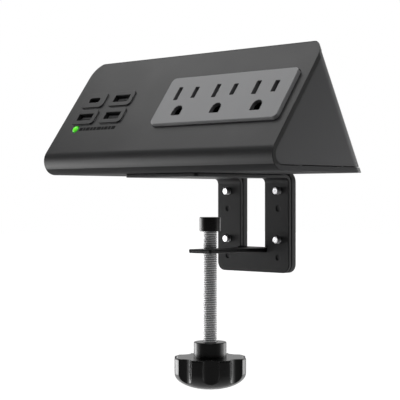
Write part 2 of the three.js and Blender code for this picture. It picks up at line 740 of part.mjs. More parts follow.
function terminalBlock() {
  const { left, right, front, back, bottom, height } = terminal;
  const top = bottom + height;
  const ribs = [-4, 4].map((x) => box([x - 0.6, front, bottom + 1], [x + 0.6, back, top + 1.5]));
  return cut(union([box([left, front, bottom], [right, back, top]), ...ribs]), terminal.ways.flatMap((x) => [
    rod(x, 0.4, top - 4, 2, top + 2, 2),
    box([x - 2.2, front - 1, bottom + 3], [x + 2.2, front + 2, top - 2]),
  ]));
}

function terminalScrew(x) {
  const top = terminal.bottom + terminal.height;
  return rod(x, 0.4, top - 3.7, 1.7, top - 1.2, 1.7);
}

// Insulated wire from above the terminal block to just behind a bus tab.
function wire(x, tabX, tabU) {
  const start = new THREE.Vector3(x, -4.6, terminal.bottom + terminal.height + gap);
  const end = new THREE.Vector3(tabX, tabU, contact.bottom - contact.tab - gap).applyMatrix4(slopeFrame);
  const leave = new THREE.Vector3(tabX, tabU, contact.bottom - contact.tab - 4).applyMatrix4(slopeFrame);
  const rise = start.clone().add(new THREE.Vector3(0, 0, 2.5));
  const curve = new THREE.CatmullRomCurve3([start, rise, leave, end], false, "centripetal");
  const round = new THREE.Shape();
  round.absarc(0, 0, 1.2, 0, turn, false);
  return solid(new THREE.ExtrudeGeometry(round, { extrudePath: curve, steps: 14, curveSegments: 4 }));
}

function ledLamp() {
  const { x, u, radius, foot } = led;
  const dome = [
    [0, foot], [radius, foot], [radius, -0.6], [radius * 0.92, 0.1], [radius * 0.7, 0.6],
    [radius * 0.38, 0.85], [0, 0.95],
  ];
  const lathe = new THREE.LatheGeometry(dome.map(([r, n]) => new THREE.Vector2(r, n)), 20);
  return solid(lathe.rotateX(Math.PI / 2), slopeFrame.clone().multiply(at(x, u, 0)));
}

// Hollow spacer that carries the lamp's legs down to the board.
function ledSpacer() {
  const [low, high] = [boardN + gap, led.foot - gap];
  return rod(led.x, led.u, low, 2.3, high, 2.3, slopeFrame).subtract(
    rod(led.x, led.u, low - 1, 1.5, high + 1, 1.5, slopeFrame),
  );
}

// ---- Assembly ----

piece("front_shell", frontShell(), shellBlack);
piece("rear_housing", rearHousing(), housingBlack);
piece("outlet_panel", outletPanel(), panelGrey);
piece("outlet_frame", outletFrame(), innerBlack);
piece("contact_cover", contactCover(), innerBlack);
piece("line_bus", bladeBus(lineX, 1, 0), brassMetal);
piece("neutral_bus", bladeBus(neutralX, -1, 0), brassMetal);
piece("ground_bus", groundBus(0), brassMetal);
outletX.forEach((x, i) => {
  piece(`shutter_${i + 1}`, safetyShutter(x), shutterGrey);
  piece(`shutter_spring_${i + 1}`, shutterSpring(x), steelMetal);
});
usbAPorts.forEach((port, i) => {
  piece(`usb_a_shell_${i + 1}`, usbShell(port, usbA), steelMetal);
  piece(`usb_a_tongue_${i + 1}`, usbTongue(port, usbA), innerBlack);
});
piece("usb_c_shell", usbShell(usbCPort, usbC), steelMetal);
piece("usb_c_tongue", usbTongue(usbCPort, usbC), innerBlack);
piece("usb_board", usbBoard(), boardGreen);
piece("led", ledLamp(), ledGreen);
piece("led_spacer", ledSpacer(), innerBlack);
piece("supply_board", supplyBoardPlate(), boardGreen);
piece("transformer_core", transformerCore(), innerBlack);
piece("transformer_winding", transformerWinding(), coreYellow);
piece("input_capacitor", capacitor(-68.5, 0, 4.5, 13), innerBlack);
piece("output_capacitor", capacitor(-36.5, 5, 3.2, 9), innerBlack);
piece("terminal_block", terminalBlock(), wireWhite);
terminal.ways.forEach((x, i) => piece(`terminal_screw_${i + 1}`, terminalScrew(x), brassMetal));
piece("line_wire", wire(8, lineX[0] - 3.5, outlets.slotU + contact.barOffset), wireBlack);
piece("ground_wire", wire(0, outletX[0] - 7.5, groundU), wireGreen);
piece("neutral_wire", wire(-8, neutralX[0] - 3.5, outlets.slotU - contact.barOffset), wireWhite);
piece("cord_gland", cordGland(), innerBlack);
piece("gland_nut", glandNut(), innerBlack);
housingScrews.forEach((point, i) => {
  piece(`housing_screw_${i + 1}`, countersunk(point, body.bottom, housingScrewLength, 0), steelMetal);
  piece(`flange_screw_${i + 1}`, countersunk(flangeScrews[i], 0, flangeScrewLength, 0), steelMetal);
});
piece("upper_bracket", upperBracket(), bracketBlack);
piece("lower_bracket", lowerBracket(), bracketBlack);
screwPoints.forEach((point, i) => piece(`bracket_screw_${i + 1}`, bracketScrew(point), steelMetal));
piece("screw_pad", screwPad(), knobBlack);
piece("clamp_screw", clampScrew(), steelMetal);
piece("knob", knobBody(), knobBlack);

export default group;
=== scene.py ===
import json
import math

import bmesh
import bpy
from mathutils import Matrix, Vector


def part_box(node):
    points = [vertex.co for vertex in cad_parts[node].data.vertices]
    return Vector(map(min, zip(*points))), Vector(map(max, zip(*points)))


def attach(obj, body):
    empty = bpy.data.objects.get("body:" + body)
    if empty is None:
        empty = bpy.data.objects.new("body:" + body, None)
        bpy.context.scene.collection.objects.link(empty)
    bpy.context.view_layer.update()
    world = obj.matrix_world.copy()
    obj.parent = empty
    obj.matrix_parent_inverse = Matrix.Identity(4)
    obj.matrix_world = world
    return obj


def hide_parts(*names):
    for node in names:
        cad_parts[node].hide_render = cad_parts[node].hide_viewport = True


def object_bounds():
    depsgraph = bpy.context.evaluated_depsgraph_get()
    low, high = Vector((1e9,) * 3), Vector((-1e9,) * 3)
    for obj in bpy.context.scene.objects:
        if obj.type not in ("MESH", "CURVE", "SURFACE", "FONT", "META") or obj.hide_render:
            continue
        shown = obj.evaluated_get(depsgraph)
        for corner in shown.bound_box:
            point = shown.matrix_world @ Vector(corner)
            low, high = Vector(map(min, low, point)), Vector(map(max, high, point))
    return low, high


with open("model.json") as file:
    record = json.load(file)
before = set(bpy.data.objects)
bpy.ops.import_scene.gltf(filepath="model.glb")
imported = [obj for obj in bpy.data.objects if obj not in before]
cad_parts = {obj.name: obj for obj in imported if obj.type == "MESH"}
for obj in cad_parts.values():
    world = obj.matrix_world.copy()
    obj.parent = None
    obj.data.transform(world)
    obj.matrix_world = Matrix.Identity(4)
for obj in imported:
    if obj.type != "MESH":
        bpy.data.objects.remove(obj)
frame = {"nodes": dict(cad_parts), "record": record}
cad_low, cad_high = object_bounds()

# ---- Sizes, in millimetres ----
# x, y and z are the frame's. On the front, u runs up the slope from the line where it would meet the base.

MM = 0.001
GAP = 0.3
OVERCUT = 1.0


def node_box(name):
    """A CAD node's lowest and highest corners, in millimetres."""
    low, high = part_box(name)
    return low / MM, high / MM


shell_low, shell_high = node_box("front_shell")
pad_low, pad_high = node_box("screw_pad")
rod_low, rod_high = node_box("clamp_screw")
knob_low, knob_high = node_box("knob")
upper_low, upper_high = node_box("upper_bracket")
lower_low, lower_high = node_box("lower_bracket")

# Body: a wedge-shaped section swept along x.
HALF_LENGTH = shell_high.x
BOTTOM = shell_low.z
TOE_Y = -55.5
REAR_Y = shell_high.y
FRONT_ANGLE = math.radians(53.8)
REAR_ANGLE = math.radians(61.75)
NOSE_RADIUS = 8.0
CREST_RADIUS = 0.9
HOUSING_CREST_RADIUS = 0.6
REAR_EDGE_RADIUS = 10.0
SECTION_STEPS = 14
WALL = 2.7
HOUSING_WALL = 2.2
SEAT = WALL + GAP
CHEEK_INSET = 0.5
BEYOND_BODY = 120.0

# Front: outlets, ports and lamp. Depths are measured outwards from the slope.
PANEL = {
    "x": 36.0, "u": 47.4, "width": 89.5, "height": 32.0, "radius": 2.8, "proud": 2.0,
    "skin": 2.4, "side": 1.8, "rim": 2.0, "rim_top": -3.0, "back": -4.8,
}
OUTLET_PITCH = 28.2
SLOT_U = 51.9
SLOT_WIDTH = 2.9
SLOT_RADIUS = 0.25
NEUTRAL_HEIGHT = 8.7
LINE_HEIGHT = 7.3
BLADE_HALF = 6.35
GROUND_U = 40.0
GROUND_RADIUS = 3.2
SLOT_CUT = (-3.0, 5.0)

PORT_X = (-68.9, -45.7)
PORT_U = (40.8, 53.1)
TILE = {"width": 18.8, "height": 10.6, "radius": 2.6, "proud": 0.8, "root": -1.0}
USB_A = {
    "width": 12.4, "height": 4.7, "radius": 0.45, "steps": 3,
    "tongue_width": 11.0, "tongue_height": 1.8, "tongue_lift": 1.1, "contacts": 4,
}
USB_C = {
    "width": 9.0, "height": 3.2, "radius": 1.55, "steps": 6,
    "tongue_width": 6.7, "tongue_height": 0.8, "tongue_lift": 0.0, "contacts": 8,
}
PORTS = (
    {"x": PORT_X[0], "u": PORT_U[0], "socket": USB_A, "shell": "usb_a_shell_1", "tongue": "usb_a_tongue_1"},
    {"x": PORT_X[0], "u": PORT_U[1], "socket": USB_C, "shell": "usb_c_shell", "tongue": "usb_c_tongue"},
    {"x": PORT_X[1], "u": PORT_U[0], "socket": USB_A, "shell": "usb_a_shell_2", "tongue": "usb_a_tongue_2"},
    {"x": PORT_X[1], "u": PORT_U[1], "socket": USB_A, "shell": "usb_a_shell_3", "tongue": "usb_a_tongue_3"},
)
PORT_METAL = 0.4
PORT_FRONT = -3.0
PORT_BACK = -16.9
PORT_CUT = (-9.0, 2.0)
TONGUE_BASE_TOP = -13.9
TONGUE_ROOT = -15.9
TONGUE_TIP = -1.6
CONTACT_ENDS = (-12.5, -2.3)
CONTACT_THICKNESS = 0.12

LED = {"x": -72.4, "u": 32.6, "radius": 2.3, "foot": -7.5, "shoulder": -0.5, "rise": 1.4, "top": 0.92}
MARK = {"start": -68.5, "end": -37.6, "height": 2.2, "drop": 0.4, "back": -0.02, "proud": 0.05}
MARK_DASHES = (0.8, 0.5, 0.9, 0.6, 0.7, 1.0, 0.5, 0.8, 0.6, 0.9)
MARK_SPACE = 0.2

# Bracket.
SHEET = upper_high.z
PLATE_HALF = upper_high.x
PLATE_CORNER = 5.0
LEG_FRONT = upper_high.y - SHEET
LEG_BACK = LEG_FRONT + SHEET
LEG_BOTTOM = upper_low.z
FLANGE_FRONT = upper_low.y
FLANGE_CORNER = 2.0
BEND_RADIUS = 3.0
LOWER_FRONT = LEG_BACK + GAP
LOWER_BACK = lower_high.y
LOWER_TOP = lower_high.z
LOWER_TOP_CORNER = 7.0
TONGUE = {
    "half": 8.6, "tip": lower_low.y, "top": -39.5, "thickness": 2.1, "corner": 1.2, "hole": 4.3,
    "overlap": 0.2, "set_in": 1.0,
}
WINDOW_HALF = 9.3
WINDOW_BOTTOM = TONGUE["top"] - TONGUE["thickness"] - GAP
WINDOW_INTO_FLANGE = 25.0
WINDOW_FOOT_EXTRA = 2.0
WINDOW_FOOT_TOP = TONGUE["top"] + GAP
HOLES = [(side * 19.3, z) for side in (-1, 1) for z in (-7.1, -34.7)]
HOLE_RADIUS = 2.15
PUNCH = {"drop": 10.0, "radius": 1.5, "depth": 0.5}
BRACKET_SCREW = {
    "proud": 2.5, "radius": 2.0, "pitch": 0.7, "thread": 0.36,
    "head_radius": 3.7, "head_edge": 0.35, "head_rise": 1.95, "head_top": 2.3,
    "socket_radius": 1.45, "socket_floor": 0.9,
}

# Countersunk screws under the body and through the flange, with a cross recess.
HOUSING_SCREWS = [(-81.5, -22), (81.5, -22), (-81.5, 12), (81.5, 12)]
HOUSING_SCREW_LENGTH = 9
FLANGE_SCREWS = [(-19, -28), (19, -28), (-19, 17), (19, 17)]
FLANGE_SCREW_LENGTH = 8
FLAT_SCREW = {"head": 3.55, "edge": 0.1, "sunk": 0.2, "head_height": 1.9, "shank": 1.7}
CROSS = {"half_length": 1.9, "half_width": 0.42, "depth": 1.0, "turn": 0.4}
COUNTERSINK = {"radius": 4.0, "height": 1.9, "pilot_radius": 2.1, "depth": 9.5}
FLANGE_PILOT_HEIGHT = 6.0

# Clamp.
THREAD_PITCH = 1.25
THREAD_DEPTH = 0.5
SCREW_BORE_RADIUS = 4.25
PAD_BORE_DEPTH = 6.0
PAD_LOWER_EDGE = 0.4
PAD_UPPER_EDGE = 0.5
COLLAR_RADIUS = 9.1
COLLAR_EDGE = 0.5
COLLAR_OVERLAP = 1.0
KNOB_TOP = -99.2
KNOB_RADIUS = 20.4
KNOB_EDGE = 0.9
DOME_START = -107.2
DOME_POWER = 0.92
LOBES = 8
FLUTE_DEPTH = 2.9
FLUTE_RADIUS = 6.2
FLUTE_BEVEL = 0.22

# Cord gland, on the back wall.
GLAND = {
    "up": 21, "hole": 6.9, "bore": 4.4, "neck": 6.6, "back": -7.5, "flange_radius": 9.0,
    "flange_edge": 2.1, "lip_radius": 5.2, "lip_edge": 0.8, "lip_height": 2.5,
}

# ---- Frames ----

TAU = 2 * math.pi
QUARTER = math.pi / 2
COS_F, SIN_F = math.cos(FRONT_ANGLE), math.sin(FRONT_ANGLE)
COS_R, SIN_R = math.cos(REAR_ANGLE), math.sin(REAR_ANGLE)


def axes(origin, x, y, z):
    """A matrix from an origin and three unit axes."""
    rotation = Matrix((x, y, z)).transposed()
    return Matrix.Translation(origin) @ rotation.to_4x4()


def shift(x, y, z):
    return Matrix.Translation((x, y, z))


# A (y, z) section swept along x, an (x, z) outline swept towards -y, and the two sloping faces.
SECTION = axes((0, 0, 0), (0, 1, 0), (0, 0, 1), (1, 0, 0))
UPRIGHT = axes((0, 0, 0), (1, 0, 0), (0, 0, 1), (0, -1, 0))
SLOPE = axes((0, TOE_Y, BOTTOM), (1, 0, 0), (0, COS_F, SIN_F), (0, -SIN_F, COS_F))
REAR = axes((0, REAR_Y, BOTTOM), (1, 0, 0), (0, SIN_R, COS_R), (0, -COS_R, SIN_R))
# Local z of this frame leaves the back wall at right angles.
BACK_WALL = axes((0, REAR_Y, BOTTOM), (-1, 0, 0), (0, -COS_R, SIN_R), (0, SIN_R, COS_R))
LEVEL = Matrix.Identity(4)


# ---- Mesh helpers: shapes are made in millimetres and scaled when they are finished ----


def arc(x, y, width, height, turns):
    """Points of an ellipse round (x, y), at the given turns in radians."""
    return [(x + width * math.cos(t), y + height * math.sin(t)) for t in turns]


def circle(radius, steps=32):
    return arc(0, 0, radius, radius, [TAU * k / steps for k in range(steps)])


def rounded(points, radii, steps=8):
    """A closed outline through the points, each corner rounded by its radius."""
    outline = []
    for i, (point, radius) in enumerate(zip(points, radii)):
        corner = Vector(point)
        if not radius:
            outline.append(corner)
            continue
        before = (Vector(points[i - 1]) - corner).normalized()
        after = (Vector(points[(i + 1) % len(points)]) - corner).normalized()
        half = before.angle(after) / 2
        centre = corner + (before + after).normalized() * (radius / math.sin(half))
        first = corner + before * (radius / math.tan(half)) - centre
        last = corner + after * (radius / math.tan(half)) - centre
        sweep = first.angle_signed(last)
        for k in range(steps + 1):
            turn = Matrix.Rotation(-sweep * k / steps, 2)
            outline.append(centre + turn @ first)
    return outline


def rectangle(width, height, radius, x, y, steps=6):
    a, b = width / 2, height / 2
    corners = [(x - a, y - b), (x + a, y - b), (x + a, y + b), (x - a, y + b)]
    return rounded(corners, [radius] * 4, steps)


def new_object(name, bm):
    bmesh.ops.recalc_face_normals(bm, faces=bm.faces)
    mesh = bpy.data.meshes.new(name)
    bm.to_mesh(mesh)
    bm.free()
    made = bpy.data.objects.new(name, mesh)
    bpy.context.scene.collection.objects.link(made)
    return made


def loft(rings, matrix=LEVEL):
    """A closed surface through rings of points; a ring of one point is a pole."""
    bm = bmesh.new()
    rows = [[bm.verts.new(matrix @ Vector(p)) for p in ring] for ring in rings]
    for lower, upper in zip(rows, rows[1:]):
        for k in range(max(len(lower), len(upper))):
            corners = []
            for row, index in ((lower, k), (lower, k + 1), (upper, k + 1), (upper, k)):
                vertex = row[index % len(row)]
                if vertex not in corners:
                    corners.append(vertex)
            bm.faces.new(corners)
    for row in (rows[0], rows[-1]):
        if len(row) > 2:
            bm.faces.new(row)
    return new_object("shape", bm)


def prism(outline, low, high, matrix=LEVEL):
    return loft([[(x, y, z) for x, y in outline] for z in (low, high)], matrix)


def box(low, high, matrix=LEVEL):
    outline = [(low[0], low[1]), (high[0], low[1]), (high[0], high[1]), (low[0], high[1])]
    return prism(outline, low[2], high[2], matrix)


def lathe(profile, matrix=LEVEL, steps=48):
    """A solid of revolution about local z from (radius, height) points; radius 0 is a pole."""
    rings = []
    for radius, height in profile:
        ring = [(x, y, height) for x, y in circle(radius, steps)]
        rings.append(ring if radius > 0 else [(0, 0, height)])
    return loft(rings, matrix)


def rod(radius, low, high, matrix=LEVEL, steps=32):
    return prism(circle(radius, steps), low, high, matrix)


def combine(target, tools, operation="DIFFERENCE"):
    """Cuts, joins or intersects the target with each tool in turn, and removes the tools."""
    for tool in tools:
        modifier = target.modifiers.new("combine", "BOOLEAN")
        modifier.operation = operation
        modifier.solver = "EXACT"
        modifier.object = tool
    depsgraph = bpy.context.evaluated_depsgraph_get()
    mesh = bpy.data.meshes.new_from_object(target.evaluated_get(depsgraph))
    target.modifiers.clear()
    target.data = mesh
    for tool in tools:
        bpy.data.objects.remove(tool)


def tidy(piece, distance=0.002):
    """Merges doubled points and drops slivers that a boolean leaves."""
    bm = bmesh.new()
    bm.from_mesh(piece.data)
    bmesh.ops.remove_doubles(bm, verts=bm.verts, dist=distance)
    bmesh.ops.dissolve_degenerate(bm, edges=bm.edges, dist=distance)
    bmesh.ops.dissolve_limit(bm, angle_limit=math.radians(0.05), verts=bm.verts, edges=bm.edges)
    bm.to_mesh(piece.data)
    bm.free()


def soften(piece, width, angle, segments):
    """Adds a modifier that rounds every edge sharper than the angle, in degrees."""
    rounding = piece.modifiers.new("bevel", "BEVEL")
    rounding.width = width
    rounding.segments = segments
    rounding.limit_method = "ANGLE"
    rounding.angle_limit = math.radians(angle)
    rounding.use_clamp_overlap = False
    rounding.miter_outer = "MITER_ARC"


def finish(piece, name, body, material, replaces=(), bevel=0.0, angle=32.0, segments=2):
    """Names a shape, scales it to metres, rounds its edges, and hands it to the frame."""
    tidy(piece)
    piece.data.transform(Matrix.Scale(MM, 4))
    piece.name = name
    piece.data.name = name
    piece.data.materials.clear()
    piece.data.materials.append(material)
    piece.data.shade_smooth()
    if bevel:
        soften(piece, bevel * MM, angle, segments)
    else:
        piece.data.set_sharp_from_angle(angle=math.radians(angle))
    weighted = piece.modifiers.new("normals", "WEIGHTED_NORMAL")
    weighted.keep_sharp = True
    weighted.weight = 80
    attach(piece, body)
    if replaces:
        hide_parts(*replaces)


# ---- Materials ----

DRIFT_SCALE = 38.0
DRIFT_DETAIL = 4.0
GRAIN_DETAIL = 2.0
GRAIN_HEIGHT = 0.0002
# Distances from the axis, in millimetres, over which a thread's painted root shade fades out.
THREAD_PAINTED_SHADE = (3.5, 3.9)
# Heights, in millimetres, over which the painted light along the base of the shell's ends fades out.
END_FOOT_PAINTED_LIGHT_HEIGHT = (4.6, 6.0)
GLOW_EDGE = (0.55, 1.05)


def link(tree, source, target):
    tree.links.new(source, target)


def shader_of(material):
    return material.node_tree.nodes["Principled BSDF"]


def ramp(tree, factor, first, last):
    """A colour that runs from the first to the last as the factor goes from 0 to 1."""
    colors = tree.nodes.new("ShaderNodeValToRGB")
    colors.color_ramp.elements[0].color = (*first, 1)
    colors.color_ramp.elements[1].color = (*last, 1)
    link(tree, factor, colors.inputs["Fac"])
    return colors.outputs["Color"]


def surface(
    name, color, roughness, metallic=0.0, specular=0.5, grain=900.0, bump=0.15, spread=0.06, tone=0.1
):
    """A moulded or coated surface: fine grain in the bump, slow drift in roughness and colour."""
    material = bpy.data.materials.new(name)
    material.use_nodes = True
    tree = material.node_tree
    shader = shader_of(material)
    shader.inputs["Metallic"].default_value = metallic
    shader.inputs["Specular IOR Level"].default_value = specular
    place = tree.nodes.new("ShaderNodeTexCoord")
    drift = tree.nodes.new("ShaderNodeTexNoise")
    drift.inputs["Scale"].default_value = DRIFT_SCALE
    drift.inputs["Detail"].default_value = DRIFT_DETAIL
    link(tree, place.outputs["Object"], drift.inputs["Vector"])
    rough = tree.nodes.new("ShaderNodeMapRange")
    rough.inputs["To Min"].default_value = max(0.02, roughness - spread)
    rough.inputs["To Max"].default_value = roughness + spread
    link(tree, drift.outputs["Fac"], rough.inputs["Value"])
    link(tree, rough.outputs["Result"], shader.inputs["Roughness"])
    darker = [c * (1 - tone) for c in color]
    lighter = [min(1, c * (1 + tone)) for c in color]
    link(tree, ramp(tree, drift.outputs["Fac"], darker, lighter), shader.inputs["Base Color"])
    if bump:
        pebble = tree.nodes.new("ShaderNodeTexNoise")
        pebble.inputs["Scale"].default_value = grain
        pebble.inputs["Detail"].default_value = GRAIN_DETAIL
        link(tree, place.outputs["Object"], pebble.inputs["Vector"])
        relief = tree.nodes.new("ShaderNodeBump")
        relief.inputs["Strength"].default_value = bump
        relief.inputs["Distance"].default_value = GRAIN_HEIGHT
        link(tree, pebble.outputs["Fac"], relief.inputs["Height"])
        link(tree, relief.outputs["Normal"], shader.inputs["Normal"])
    return material


def by_distance(tree, mask, near, far, centre=(0, 0, 0)):
    """0 to 1 between two distances from a point, in millimetres, measured along the masked axes."""
    place = tree.nodes.new("ShaderNodeTexCoord")
    offset = tree.nodes.new("ShaderNodeVectorMath")
    offset.operation = "SUBTRACT"
    offset.inputs[1].default_value = Vector(centre) * MM
    link(tree, place.outputs["Object"], offset.inputs[0])
    flat = tree.nodes.new("ShaderNodeVectorMath")
    flat.operation = "MULTIPLY"
    flat.inputs[1].default_value = mask
    link(tree, offset.outputs["Vector"], flat.inputs[0])
    distance = tree.nodes.new("ShaderNodeVectorMath")
    distance.operation = "LENGTH"
    link(tree, flat.outputs["Vector"], distance.inputs[0])
    value = tree.nodes.new("ShaderNodeMapRange")
    value.interpolation_type = "SMOOTHSTEP"
    value.inputs["From Min"].default_value = near * MM
    value.inputs["From Max"].default_value = far * MM
    link(tree, distance.outputs["Value"], value.inputs["Value"])
    return value.outputs["Result"]


def thread_metal_with_painted_shade(name, color, root_painted_shade_color, roughness, metallic):
    """Bright plating on a thread along z, with painted shade that makes it dull and dark down in the roots.
    """
    material = surface(name, color, roughness, metallic=metallic, grain=500, bump=0.1)
    tree = material.node_tree
    # Painted shade: the colour darkens from the crests down into the roots.
    depth = by_distance(tree, (1, 1, 0), *THREAD_PAINTED_SHADE)
    link(tree, ramp(tree, depth, root_painted_shade_color, color), shader_of(material).inputs["Base Color"])
    return material


def end_face(name, color, foot_painted_light_color, roughness):
    """The front shell's flat ends: matt and dark, with painted light that makes them paler along the base.
    """
    material = surface(name, color, roughness, specular=0.3)
    tree = material.node_tree
    # Painted light: the colour is paler within a few millimetres of the base.
    height = by_distance(tree, (0, 0, 1), *END_FOOT_PAINTED_LIGHT_HEIGHT)
    link(tree, ramp(tree, height, foot_painted_light_color, color), shader_of(material).inputs["Base Color"])
    return material


def glow(name, core, rim, strength, centre, radius):
    """A lit lens: bright in the middle, where the lamp is, and deeper in colour at the rim."""
    material = surface(name, rim, 0.2, bump=0.0)
    tree = material.node_tree
    shader = shader_of(material)
    near, far = GLOW_EDGE
    edge = by_distance(tree, (1, 1, 1), near * radius, far * radius, centre)
    link(tree, ramp(tree, edge, core, rim), shader.inputs["Emission Color"])
    shader.inputs["Emission Strength"].default_value = strength
    return material


led_centre = SLOPE @ Vector((LED["x"], LED["u"], 0))
shell_plastic = surface("shell_satin_black", (0.014, 0.014, 0.0148), 0.4)
shell_base = surface("shell_base_matt_black", (0.02, 0.02, 0.021), 0.7, specular=0.12)
# The shell's ends carry painted light along the base.
shell_end = end_face("shell_end_matt_black", (0.004, 0.004, 0.004), (0.028, 0.028, 0.03), 0.62)
housing_plastic = surface("housing_satin_black", (0.030, 0.030, 0.032), 0.46, specular=0.4)
panel_plastic = surface("panel_satin_grey", (0.28, 0.281, 0.287), 0.5)
# Painted shade for the walls inside the panel's slots and holes.
hole_painted_shade = surface("panel_hole_shade", (0.075, 0.075, 0.078), 0.7)
inner_plastic = surface("inner_matt_black", (0.012, 0.012, 0.012), 0.55)
ferrite = surface("ferrite_grey", (0.03, 0.03, 0.032), 0.7, grain=2500, bump=0.4)
winding_tape = surface("winding_tape", (0.6, 0.4, 0.05), 0.35)
tongue_plastic = surface("port_tongue_grey", (0.10, 0.10, 0.102), 0.5)
shutter_plastic = surface("shutter_grey", (0.16, 0.16, 0.165), 0.5)
spring_steel = surface("spring_steel", (0.6, 0.6, 0.62), 0.28, metallic=1)
brass = surface("contact_brass", (0.78, 0.55, 0.22), 0.3, metallic=1)
port_metal = surface("port_nickel", (0.6, 0.61, 0.62), 0.4, metallic=1)
board = surface("board_green", (0.01, 0.12, 0.04), 0.35)
led_lens = glow("led_green_lit", (0.15, 0.80, 0.03), (0.01, 0.22, 0.004), 0.9, led_centre, LED["radius"])
terminal_white = surface("terminal_white", (0.72, 0.71, 0.67), 0.45)
wire_black = surface("wire_black", (0.015, 0.015, 0.015), 0.4)
wire_white = surface("wire_white", (0.72, 0.72, 0.7), 0.4)
wire_green = surface("wire_green", (0.02, 0.22, 0.06), 0.4)
bracket_paint = surface(
    "bracket_powder_coat", (0.011, 0.011, 0.012), 0.5, specular=0.22, grain=1800, bump=0.35
)
knob_plastic = surface("knob_gloss_black", (0.002, 0.002, 0.002), 0.28, specular=0.38, bump=0.0, spread=0.03)
rod_zinc = thread_metal_with_painted_shade("rod_zinc_plate", (0.92, 0.92, 0.925), (0.36, 0.36, 0.365), 0.52, 0.5)
screw_steel = surface("screw_zinc_plate", (0.78, 0.78, 0.79), 0.22, metallic=1, grain=600, bump=0.05)
# Painted shade for the flanks of the bracket screws' ends.
screw_thread_painted_shade = surface("screw_thread_zinc", (0.35, 0.35, 0.36), 0.4, metallic=1, grain=600, bump=0.1)
mark_ink = surface("mark_dark_ink", (0.009, 0.009, 0.009), 0.8, specular=0.15, bump=0.0)

SLOT_MATERIALS = {
    "shell_black": shell_plastic,
    "housing_black": housing_plastic,
    "panel_grey": panel_plastic,
    "inner_plastic": inner_plastic,
    "ferrite": ferrite,
    "winding": winding_tape,
    "shutter_grey": shutter_plastic,
    "spring_steel": spring_steel,
    "brass": brass,
    "port_metal": port_metal,
    "board": board,
    "led_lens": led_lens,
    "terminal_white": terminal_white,
    "wire_black": wire_black,
    "wire_white": wire_white,
    "wire_green": wire_green,
    "bracket_black": bracket_paint,
    "knob_black": knob_plastic,
    "rod_zinc": rod_zinc,
    "screw_steel": screw_steel,
}

# ---- Body ----

# A face gets the base's or the ends' material when its normal points this far down or sideways.
DOWNWARD = -0.6
SIDEWAYS = 0.99


def wedge(front, base, rear, nose, crest):
    """The body's section with its front, base and back faces moved inwards."""
    slope_offset = -SIN_F * TOE_Y + COS_F * BOTTOM - front
    back_offset = SIN_R * REAR_Y + COS_R * BOTTOM - rear
    z = BOTTOM + base
    toe = ((slope_offset - COS_F * z) / -SIN_F, z)
    heel = ((back_offset - COS_R * z) / SIN_R, z)
    determinant = -SIN_F * COS_R - COS_F * SIN_R
    top = (
        (slope_offset * COS_R - COS_F * back_offset) / determinant,
        (-SIN_F * back_offset - slope_offset * SIN_R) / determinant,
    )
    return rounded([heel, top, toe], [0, crest, nose], SECTION_STEPS)


def inside_rear_edges(half, radius, rear):
    """A tall block of the given half width, rounded along its two rear edges."""
    far = -BEYOND_BODY
    outline = rounded([(-half, far), (half, far), (half, -rear), (-half, -rear)], [0, 0, radius, radius], 10)
    return prism(outline, -BEYOND_BODY, BEYOND_BODY, REAR)


def countersunk_cut(x, y, z):
    """A cutter for a flat screw's head and its pilot hole, from below."""
    radius, pilot = COUNTERSINK["radius"], COUNTERSINK["pilot_radius"]
    low, neck, top = z - GAP, z + COUNTERSINK["height"], z + COUNTERSINK["depth"]
    profile = [(0, low), (radius, low), (radius, z), (pilot, neck), (pilot, top), (0, top)]
    return lathe(profile, shift(x, y, 0), steps=28)


def port_outline(port, grow=0.0):
    socket = port["socket"]
    width, height = socket["width"] + 2 * grow, socket["height"] + 2 * grow
    return rectangle(width, height, socket["radius"] + grow, port["x"], port["u"], socket["steps"])


def make_shell():
    shell = prism(wedge(0, 0, 0, NOSE_RADIUS, CREST_RADIUS), -HALF_LENGTH, HALF_LENGTH, SECTION)
    combine(shell, [inside_rear_edges(HALF_LENGTH, REAR_EDGE_RADIUS, 0)], "INTERSECT")
    open_back = -40
    inner = wedge(WALL, WALL, open_back, NOSE_RADIUS - WALL, 0)
    combine(shell, [prism(inner, -HALF_LENGTH - OVERCUT, HALF_LENGTH + OVERCUT, SECTION)])
    tiles = []
    for port in PORTS:
        tile = rectangle(TILE["width"], TILE["height"], TILE["radius"], port["x"], port["u"])
        tiles.append(prism(tile, TILE["root"], TILE["proud"], SLOPE))
    combine(shell, tiles, "UNION")
    width, height = PANEL["width"] + 2 * GAP, PANEL["height"] + 2 * GAP
    panel_hole = rectangle(width, height, PANEL["radius"] + GAP, PANEL["x"], PANEL["u"], 10)
    cuts = [prism(panel_hole, -WALL - OVERCUT, OVERCUT, SLOPE)]
    cuts += [prism(port_outline(port), *PORT_CUT, SLOPE) for port in PORTS]
    cuts.append(rod(LED["radius"] + GAP, *PORT_CUT, SLOPE @ shift(LED["x"], LED["u"], 0)))
    cuts += [countersunk_cut(x, y, BOTTOM) for x, y in HOUSING_SCREWS]
    pilot = COUNTERSINK["pilot_radius"]
    cuts += [rod(pilot, 0, BOTTOM + FLANGE_PILOT_HEIGHT, shift(x, y, 0)) for x, y in FLANGE_SCREWS]
    combine(shell, cuts)
    finish(shell, "shell", "root", shell_plastic, ["front_shell"], bevel=0.28, segments=3)
    shell.data.materials.append(shell_end)
    shell.data.materials.append(shell_base)
    for face in shell.data.polygons:
        at_end = abs(face.center.x) > (HALF_LENGTH - 0.1) * MM
        if abs(face.normal.x) > SIDEWAYS and at_end:
            face.material_index = 1
        elif face.normal.z < DOWNWARD:
            face.material_index = 2


